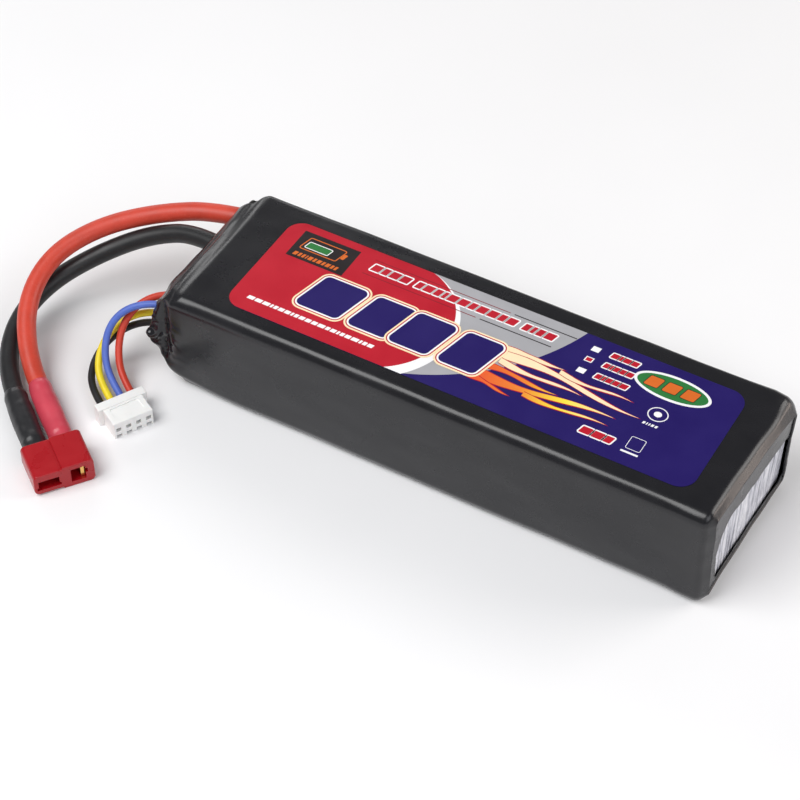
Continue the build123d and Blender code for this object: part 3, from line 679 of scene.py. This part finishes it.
def crumple(point):
    """Creases round the gather: how far the film stands out there, in millimetres."""
    x, y, z = point
    away = math.dist(point, GATHER_TIP)
    near_tip = math.exp(-(away / GATHER_REACH) ** 2) * smoothstep(0.2, 1.6, away)
    angle = math.atan2(z - GATHER_TIP[2], x - GATHER_TIP[0] + 1.5)
    rays = math.sin(5 * angle + 1.3 + 1.8 * noise.noise(Vector((x / 3, y / 3, z / 3))))
    creases = ridged(x / 3.8, y / 3.8, z / 3.8 + 2.2) + 0.08 * ridged(x / 1.8, y / 1.8, z / 1.8)
    return near_tip * (0.55 * rays + 1.1 * (creases - 0.75))


def pleats(point, from_edge):
    """Puckers along the open edge, from_edge millimetres away: long folds on top, short ones elsewhere."""
    x, y, z = point
    on_top = smoothstep(20, 25, z)
    long_folds = 0.5 * (ridged(x / 2.7, y / 24, 3.3) - 0.6) * math.exp(-((from_edge - 2.2) / 2.2) ** 2)
    short = 0.30 * noise.noise(Vector((y / 2.4, z / 2.4, 4.4)))
    short += 0.04 * noise.noise(Vector((y, z, 8.1)))
    return on_top * long_folds + (1 - 0.75 * on_top) * short * math.exp(-(from_edge / 2.6) ** 2)


def surface_normals(rows):
    """Outward normals at the points of a tube of closed rows."""
    along = np.gradient(rows, axis=0)
    across = np.roll(rows, -1, axis=1) - np.roll(rows, 1, axis=1)
    normals = np.cross(across, along)
    return normals / np.maximum(np.linalg.norm(normals, axis=2, keepdims=True), 1e-9)


def make_sleeve():
    """The shrunk film, gathered where the balance leads leave."""
    rows = sleeve_rows()
    gather(rows)
    normals = surface_normals(rows)
    count, around = rows.shape[:2]
    for i in range(count):
        for j in range(around):
            x, y, z = place = rows[i, j].copy()
            out = -film_wobble(x, y, z)
            if i < SHOULDER_STEPS + 12:
                out += crumple(place) + pleats(place, i * SHOULDER / SHOULDER_STEPS)
                out += TIP_ROLL * math.exp(-(math.dist(place, GATHER_TIP) / 3.5) ** 2 - (i / 4) ** 2)
            moved = place + normals[i, j] * out
            moved += end_sag(x, y, z)
            moved[2] = max(moved[2], 0.0)
            rows[i, j] = moved
    sleeve = new_piece("sleeve", rows.reshape(-1, 3) * MM, grid_faces(count, around), "sleeve_film",
                       ["shrink_sleeve"])
    wall = sleeve.modifiers.new("wall", "SOLIDIFY")
    wall.thickness = FILM * MM
    wall.offset = -1


# ---- label print --------------------------------------------------------------------------
LABEL_RADIUS = 4.0
INK = 0.005
SLANT = 0.24
LINE_RED, LINE_WHITE, LINE_CREAM = 0.28, 0.42, 0.42
WORD_SPACE = 0.8
CORNER_ARC_STEPS, FIELD_CORNER_STEPS, FIELD_ARC_STEPS, ELLIPSE_STEPS, STREAK_STEPS = 7, 12, 64, 72, 36


def rounded_outline(skeleton, radius):
    """A convex shape, given counter-clockwise, grown by a radius with round corners."""
    outline = []
    count = len(skeleton)
    for i, corner in enumerate(skeleton):
        before, after = skeleton[i - 1], skeleton[(i + 1) % count]
        start = math.atan2(corner[1] - before[1], corner[0] - before[0]) - math.pi / 2
        end = math.atan2(after[1] - corner[1], after[0] - corner[0]) - math.pi / 2
        turn = (end - start) % (2 * math.pi)
        for k in range(CORNER_ARC_STEPS + 1):
            angle = start + turn * k / CORNER_ARC_STEPS
            outline.append((corner[0] + radius * math.cos(angle), corner[1] + radius * math.sin(angle)))
    return outline


def ellipse(x, y, half_length, half_height):
    turns = [2 * math.pi * k / ELLIPSE_STEPS for k in range(ELLIPSE_STEPS)]
    return [(x + half_length * math.cos(turn), y + half_height * math.sin(turn)) for turn in turns]


def label_field(x, y, radius):
    """The label's left part, as far as a circle that crosses its two long edges."""
    x0, y0, y1, r = LABEL_LOW.x, LABEL_LOW.y, LABEL_HIGH.y, LABEL_RADIUS
    outline = []
    for centre_x, centre_y, first in ((x0 + r, y1 - r, 90), (x0 + r, y0 + r, 180)):
        for k in range(FIELD_CORNER_STEPS + 1):
            angle = math.radians(first + 90 * k / FIELD_CORNER_STEPS)
            outline.append((centre_x + r * math.cos(angle), centre_y + r * math.sin(angle)))
    low, high = math.asin((y0 - y) / radius), math.asin(min(1.0, (y1 - y) / radius))
    for k in range(FIELD_ARC_STEPS + 1):
        angle = low + (high - low) * k / FIELD_ARC_STEPS
        outline.append((x + radius * math.cos(angle), y + radius * math.sin(angle)))
    return outline


def printed(name, outlines, level, material):
    """Flat inked shapes on the label; a higher level lies over a lower one."""
    low, high = LABEL_HIGH.z, LABEL_HIGH.z + level * INK
    points, faces = [], []
    for outline in outlines:
        first, count = len(points), len(outline)
        points += [(x * MM, y * MM, low * MM) for x, y in outline]
        points += [(x * MM, y * MM, high * MM) for x, y in outline]
        faces.append(tuple(first + k for k in reversed(range(count))))
        faces.append(tuple(first + count + k for k in range(count)))
        faces += [(first + k, first + (k + 1) % count, first + count + (k + 1) % count, first + count + k)
                  for k in range(count)]
    return new_piece(name, points, faces, material, smooth=False)


def slanted_bar(x, y, width, height, slant=SLANT):
    """A leaning bar's skeleton about its middle."""
    lean = slant * height / 2
    return [(x - width / 2 - lean, y - height / 2), (x + width / 2 - lean, y - height / 2),
            (x + width / 2 + lean, y + height / 2), (x - width / 2 + lean, y + height / 2)]


def bar_row(x0, x1, y, height, widths, gap):
    """Leaning bars of uneven width that fill a line, in place of print; a width of 0 is a word space."""
    scale = (x1 - x0 - gap * (len(widths) - 1)) / (sum(widths) + WORD_SPACE * widths.count(0))
    bars, x = [], x0
    for width in widths:
        room = (width or WORD_SPACE) * scale
        if width:
            bars.append(slanted_bar(x + room / 2, y, room, height))
        x += room + gap
    return bars


def streak(x0, y0, x1, y1, width, sway, grow=0.0):
    """A tapering wavy streak that ends in a point; grow adds an even margin."""
    upper, lower = [], []
    for k in range(STREAK_STEPS + 1):
        t = k / STREAK_STEPS
        x = x0 + (x1 - x0 + grow * 3) * t
        y = y0 + (y1 - y0) * t + sway * math.sin(t * math.pi * 1.7)
        half = width / 2 * (1 - t) ** 0.75 * (1 + 0.22 * math.sin(t * 11)) + grow * (1 - t ** 6)
        upper.append((x, y + half))
        lower.append((x, y - half))
    return lower + upper[-2::-1]


def outlined(name, skeletons, radius, level, fills):
    """Shapes printed one inside the other: fills are (extra margin, material) from the outside in."""
    for k, (margin, material) in enumerate(fills):
        shapes = [rounded_outline(skeleton, radius + margin) for skeleton in skeletons]
        printed(f"{name}_{k}", shapes, level + k, material)


def print_fields():
    """Red, white and grey fields over the navy ground, and the two fine rules across them."""
    printed("print_grey_field", [label_field(-26.3, 31.3, 50.8)], 1, "print_grey")
    printed("print_white_band", [label_field(-21.5, -3.3, 18.9)], 2, "print_white")
    printed("print_red_field", [label_field(-22.0, -1.8, 17.6)], 3, "print_red")
    for name, y, x0, split, x1 in (("upper", 12.2, -30.3, 4.7, 20.6), ("lower", 7.15, -30.9, -1.4, 16.8)):
        left, right = split - 0.5, split + 0.5
        printed(f"rule_{name}_red", [slanted_bar((x0 + left) / 2, y, left - x0, 0.2)], 4, "print_dark_red")
        printed(f"rule_{name}_black", [slanted_bar((right + x1) / 2, y, x1 - right, 0.26)], 4, "print_black")


def print_panel():
    """A dark corner panel with a plain battery outline and a row of bars."""
    printed("panel", [rounded_outline(slanted_bar(-41.8, 8.35, 14.4, 8.7, 0.0), 0.15)], 4, "print_black")
    outlined("panel_frame", [slanted_bar(-42.4, 9.3, 8.6, 3.2)], 0.3, 5,
             [(0.26, "print_orange"), (0, "print_black")])
    printed("panel_nub", [rounded_outline(slanted_bar(-37.0, 9.4, 0.3, 1.2), 0.3)], 5, "print_orange")
    outlined("panel_bar", [slanted_bar(-43.4, 9.0, 5.4, 1.5)], 0.2, 7,
             [(0.22, "print_white"), (0, "print_green")])
    line = bar_row(-47.8, -36.4, 5.3, 1.2, (3, 2, 2, 1, 3, 2, 3, 2, 3, 2, 2), 0.35)
    printed("panel_line", line, 5, "print_orange")


def print_blocks():
    """Four large leaning blocks with red and white outlines."""
    places = ((-32.6, 8.2), (-19.8, 7.1), (-9.5, 7.1), (2.6, 6.6))
    margins = [(LINE_WHITE + LINE_RED + LINE_CREAM, "print_cream"), (LINE_WHITE + LINE_RED, "print_red"),
               (LINE_WHITE, "print_white"), (0, "print_navy")]
    for k, (x, width) in enumerate(places):
        outlined(f"block_{k}", [slanted_bar(x, -3.2, width, 8.2)], 1.4, 12 + 6 * k, margins)


def print_rows():
    """Rows of small leaning bars in place of each line of print, and the plain marks beside them."""
    white_edge = [(0.36, "print_white"), (0.0, "print_red")]
    widths = (3, 2, 3, 3, 0, 2, 3, 2, 1, 3, 3, 2, 3, 3, 2, 3, 0, 2, 1, 2, 3)
    outlined("title_row", bar_row(-29.6, 16.2, 9.9, 1.9, widths, 0.75), 0.12, 5, white_edge)
    widths = (4, 4, 4, 1, 2, 3, 3, 1, 2, 3, 3, 3, 4, 2, 3, 1, 2, 3, 4, 1, 2, 3)
    footer = bar_row(-49.0, -17.0, -12.1, 0.85, widths, 0.5)
    printed("footer_row", [rounded_outline(bar, 0.1) for bar in footer], 5, "print_white")
    for k, (y, ticked) in enumerate(((11.4, False), (7.9, True), (4.1, False))):
        printed(f"tick_box_{k}", [slanted_bar(25.7, y, 1.9, 1.55, 0.1)], 1, "print_white")
        if ticked:
            printed("tick_mark", [slanted_bar(25.7, y, 1.4, 1.1, 0.1)], 2, "print_red")
        bars = bar_row(29.6 - 0.2 * k, 35.8 + 0.4 * k, y + 0.1, 1.3, (3, 1, 3, 3, 4)[: 5 - (k == 0)], 0.55)
        outlined(f"option_row_{k}", bars, 0.1, 1, [(0.3, "print_white"), (0.0, "print_red")])
    outlined("unit_mark", bar_row(33.6, 40.6, -11.3, 1.6, (3, 3, 2), 0.8), 0.2, 1,
             [(0.34, "print_white"), (0.0, "print_red")])


def print_badge():
    """A green oval with a white rim and three orange bars, and small plain marks under it."""
    printed("badge_rim", [ellipse(45.3, 8.75, 9.0, 3.75)], 4, "print_white")
    printed("badge_field", [ellipse(45.3, 8.75, 8.3, 3.1)], 5, "print_green")
    bars = [slanted_bar(x, 8.8, 2.5, 2.3) for x in (40.9, 45.2, 49.5)]
    outlined("badge_bars", bars, 0.35, 6, [(0.16, "print_black"), (0, "print_orange")])
    printed("round_mark", [ellipse(45.8, 0.4, 2.3, 2.1)], 1, "print_white")
    printed("round_mark_ground", [ellipse(45.8, 0.4, 2.05, 1.85)], 2, "print_navy")
    printed("round_mark_core", [ellipse(45.8, 0.4, 0.9, 0.8)], 3, "print_white")
    printed("round_mark_line", bar_row(43.9, 47.3, -3.1, 0.7, (2, 1, 1, 2, 2), 0.3), 1, "print_white")
    outlined("square_mark", [slanted_bar(45.5, -9.7, 2.6, 2.9, 0.0)], 0.3, 1,
             [(0.14, "print_white"), (0, "print_navy")])
    printed("square_mark_bar", [slanted_bar(45.3, -12.6, 4.0, 0.5, 0.0)], 1, "print_white")


def print_streaks():
    """Wavy tapering streaks that trail from the blocks, each at a level of its own in its colour."""
    cream = [(7.0, 1.4, 22.6, 2.7, 1.9, 0.4), (8.0, -0.1, 42.8, -1.8, 2.2, 1.0),
             (9.0, -1.9, 29.0, -3.2, 1.5, -0.5), (22.0, 1.4, 39.4, 0.4, 1.1, -0.6)]
    blaze = [(4.0, -5.2, 24.4, -4.6, 1.8, 0.7), (4.0, -7.2, 38.2, -6.0, 2.5, -0.9),
             (18.0, -8.4, 37.6, -8.3, 1.2, -0.5), (5.0, -9.1, 15.4, -10.3, 1.3, 0.3)]
    for name, shapes, fill in (("cream", cream, "print_cream"), ("blaze", blaze, "print_blaze")):
        for k, shape in enumerate(shapes):
            printed(f"streak_{name}_{k}_edge", [streak(*shape, grow=0.18)], 4 + 2 * k, "print_red")
            printed(f"streak_{name}_{k}", [streak(*shape)], 5 + 2 * k, fill)


def make_label():
    """Plain fields, bars and streaks in the places and colours of the label's print."""
    label = nodes["label"]
    label.data.materials.clear()
    label.data.materials.append(MATERIALS["print_navy"])
    print_fields()
    print_panel()
    print_streaks()
    print_blocks()
    print_rows()
    print_badge()


# ---- strapping tape -----------------------------------------------------------------------
TAPE_THICK, TAPE_BEND_RADIUS, TAPE_SPARE_WIDTH = 0.1, 2.3, 0.5
RIB_DEPTH, RIB_COUNT, STEPS_PER_RIB = 0.32, 24, 10
RUN_STEPS, BEND_STEPS, DROP_STEPS = 40, 8, 30


def tape_path(low, high):
    """The strap seen from the side: x, z and the outward direction, from its top run to its bottom one."""
    radius = TAPE_BEND_RADIUS
    bend_x = high.x - radius
    drop = high.z - low.z - 2 * radius
    path = [(low.x + (bend_x - low.x) * k / RUN_STEPS, high.z, 0.0, 1.0) for k in range(RUN_STEPS + 1)]
    for k in range(1, BEND_STEPS + 1):
        turn = math.pi / 2 * k / BEND_STEPS
        out_x, out_z = math.sin(turn), math.cos(turn)
        path.append((bend_x + radius * out_x, high.z - radius + radius * out_z, out_x, out_z))
    path += [(high.x, high.z - radius - drop * k / DROP_STEPS, 1.0, 0.0) for k in range(1, DROP_STEPS)]
    for k in range(BEND_STEPS + 1):
        turn = math.pi / 2 * k / BEND_STEPS
        out_x, out_z = math.cos(turn), -math.sin(turn)
        path.append((bend_x + radius * out_x, low.z + radius + radius * out_z, out_x, out_z))
    path += [(bend_x + (low.x - bend_x) * k / RUN_STEPS, low.z, 0.0, -1.0) for k in range(1, RUN_STEPS + 1)]
    return path


def make_tape():
    """The strap's two runs and its turn over the far end, ribbed along its length."""
    low, high = (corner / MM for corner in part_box("filament_tape"))
    width = high.y + TAPE_SPARE_WIDTH - low.y
    columns = RIB_COUNT * STEPS_PER_RIB + 1
    path = tape_path(low, high)
    points = []
    for x, z, out_x, out_z in path:
        for j in range(columns):
            y = low.y + width * j / (columns - 1)
            fine = noise.noise(Vector((x / 3, y / 2, z / 3)))
            drift = 0.55 * noise.noise(Vector((x / 9, y / 5, z / 7))) + 0.2 * fine
            phase = (y - low.y + drift) / width * RIB_COUNT * math.pi
            height = 0.06 * fine - RIB_DEPTH * abs(math.cos(phase)) ** 3
            bow, _, droop = end_sag(x, y, z)
            points.append(((x + 0.8 * bow + out_x * height) * MM, y * MM, (z + droop + out_z * height) * MM))
    tape = new_piece("tape", points, grid_faces(len(path), columns, closed=False), "strapping_tape",
                     ["filament_tape"])
    wall = tape.modifiers.new("wall", "SOLIDIFY")
    wall.thickness = TAPE_THICK * MM
    wall.offset = 1


# ---- surroundings -------------------------------------------------------------------------
def area_light(name, direction, distance, width, height, radiance, colour=(1, 1, 1)):
    """A soft box that faces the pack; its power follows from its radiance."""
    data = bpy.data.lights.new(name, "AREA")
    data.shape, data.size, data.size_y = "RECTANGLE", width, height
    data.energy = radiance * width * height * math.pi
    data.color = colour
    light = bpy.data.objects.new(name, data)
    way = Vector(direction).normalized()
    light.location = way * distance
    light.rotation_euler = way.to_track_quat("Z", "Y").to_euler()
    bpy.context.scene.collection.objects.link(light)


def make_surroundings():
    """A pale floor, an even sky and soft boxes."""
    size = 3.0
    corners = [(-size, -size, 0), (size, -size, 0), (size, size, 0), (-size, size, 0)]
    mesh = bpy.data.meshes.new("floor")
    mesh.from_pydata(corners, [], [(0, 1, 2, 3)])
    s = Shader("floor_paper")
    tint = s.ramp(s.noise(8.0, 3.0), (0.3, linear(240, 240, 241)), (0.7, linear(244, 244, 245)))
    mesh.materials.append(s.finish(tint, s.range(s.noise(60.0), 0.75, 0.85)))
    floor = bpy.data.objects.new("floor", mesh)
    bpy.context.scene.collection.objects.link(floor)
    world = bpy.data.worlds.new("world")
    bpy.context.scene.world = world
    world.use_nodes = True
    sky = world.node_tree.nodes["Background"]
    sky.inputs["Color"].default_value = (1, 1, 1, 1)
    sky.inputs["Strength"].default_value = 0.2
    area_light("key", (-0.34, -0.46, 0.82), 0.72, 0.54, 0.42, 5.8)
    area_light("fill", (0.85, -0.55, 0.75), 0.8, 0.55, 0.5, 2.0, (0.94, 0.95, 1.0))
    area_light("back_left", (-0.70, 0.62, 0.44), 0.85, 0.6, 0.14, 4.0)
    area_light("back_right", (0.68, 0.62, 0.56), 0.8, 0.5, 0.3, 4.5, (1.0, 0.97, 0.94))
    area_light("low_warm", (0.80, 0.60, 0.16), 0.75, 0.5, 0.11, 6.0, (1.0, 0.86, 0.78))
    bpy.context.scene.view_settings.view_transform = "Standard"


make_camera()
make_leads()
finish_cad_nodes()
make_sleeve()
make_label()
make_tape()
make_surroundings()
